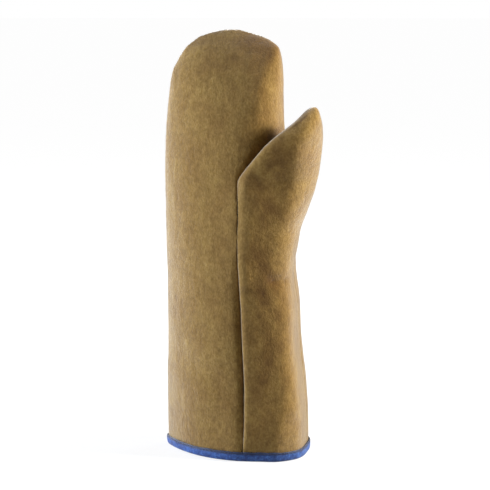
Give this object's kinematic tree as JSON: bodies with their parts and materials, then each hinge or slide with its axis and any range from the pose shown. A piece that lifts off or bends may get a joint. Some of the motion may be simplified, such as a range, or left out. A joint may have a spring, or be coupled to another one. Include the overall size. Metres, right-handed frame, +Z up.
{
  "type": "heat resistant mitten",
  "caption": "Long work mitten of thick brushed cloth with a separate thumb and a tape-bound open cuff, standing upright on the cuff; shields a hand from heat.",
  "frame": {"origin": "middle of the footprint, on the surface that the mitten stands on", "axes": "+Z up from the cuff to the fingertips, -Y the palm side, +X the thumb side"},
  "size_m": [0.1564, 0.0956, 0.4],
  "materials": {
    "cloth": "tan brushed cloth with a short felted nap",
    "tape": "blue woven binding tape"
  },
  "bodies": {
    "root": {"palm_panel": "cloth", "thumb_panel": "cloth", "back_panel": "cloth", "cuff_binding": "tape"}
  },
  "joints": []
}
